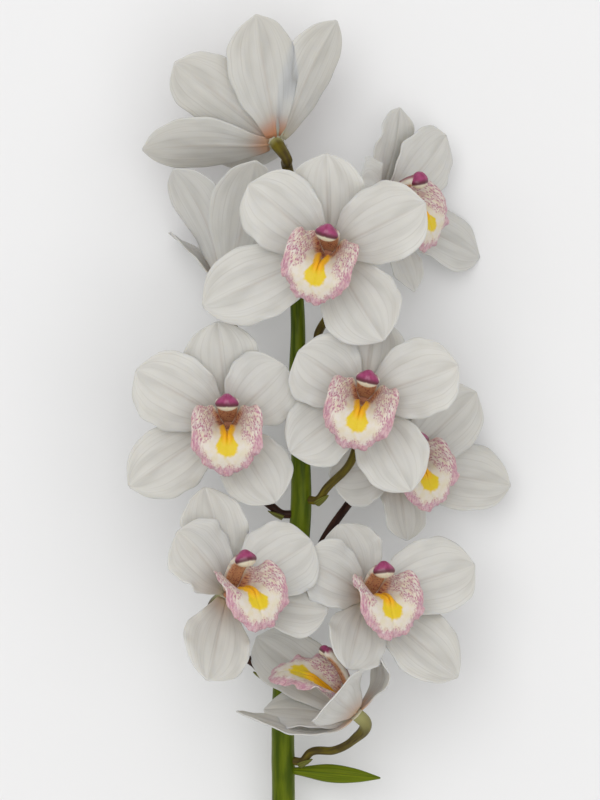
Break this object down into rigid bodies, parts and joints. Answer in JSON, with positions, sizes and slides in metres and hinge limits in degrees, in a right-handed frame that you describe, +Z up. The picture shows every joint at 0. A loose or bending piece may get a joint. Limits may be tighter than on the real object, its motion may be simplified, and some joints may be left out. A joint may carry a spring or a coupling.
{
  "type": "cymbidium orchid stem",
  "caption": "Cut orchid stem lying on its back: open white flowers with pink-rimmed yellow-ridged lips on short arching stalks along a green stem with a leaf-like bract",
  "frame": {"origin": "middle of the lowest face of the whole stem's box, on the surface it lies on", "axes": "+X to the right and +Y along the stem toward its top, seen from above; +Z up from the surface"},
  "size_m": [0.1938, 0.5664, 0.1409],
  "materials": {
    "stem": "fresh green stem, soft satin",
    "bract": "fresh green leaf, satin",
    "stalk": "olive to dark maroon stalk, satin",
    "sepal": "waxy translucent warm white",
    "petal": "waxy translucent warm white",
    "lip": "white with a pink ruffled rim, yellow ridges and speckles",
    "column": "magenta cap over a tan column"
  },
  "bodies": {
    "root": {"stem": "stem", "bract": "bract", "sepals_01": "sepal", "petals_01": "petal", "lip_01": "lip", "column_01": "column", "stalk_01": "stalk", "sepals_02": "sepal", "petals_02": "petal", "lip_02": "lip", "column_02": "column", "stalk_02": "stalk", "sepals_03": "sepal", "petals_03": "petal", "lip_03": "lip", "column_03": "column", "stalk_03": "stalk", "sepals_04": "sepal", "petals_04": "petal", "lip_04": "lip", "column_04": "column", "stalk_04": "stalk", "sepals_05": "sepal", "petals_05": "petal", "lip_05": "lip", "column_05": "column", "stalk_05": "stalk", "sepals_06": "sepal", "petals_06": "petal", "lip_06": "lip", "column_06": "column", "stalk_06": "stalk", "sepals_07": "sepal", "petals_07": "petal", "lip_07": "lip", "column_07": "column", "stalk_07": "stalk", "sepals_08": "sepal", "petals_08": "petal", "lip_08": "lip", "column_08": "column", "stalk_08": "stalk", "sepals_09": "sepal", "petals_09": "petal", "lip_09": "lip", "column_09": "column", "stalk_09": "stalk", "sepals_10": "sepal", "petals_10": "petal", "lip_10": "lip", "column_10": "column", "stalk_10": "stalk"}
  },
  "joints": []
}
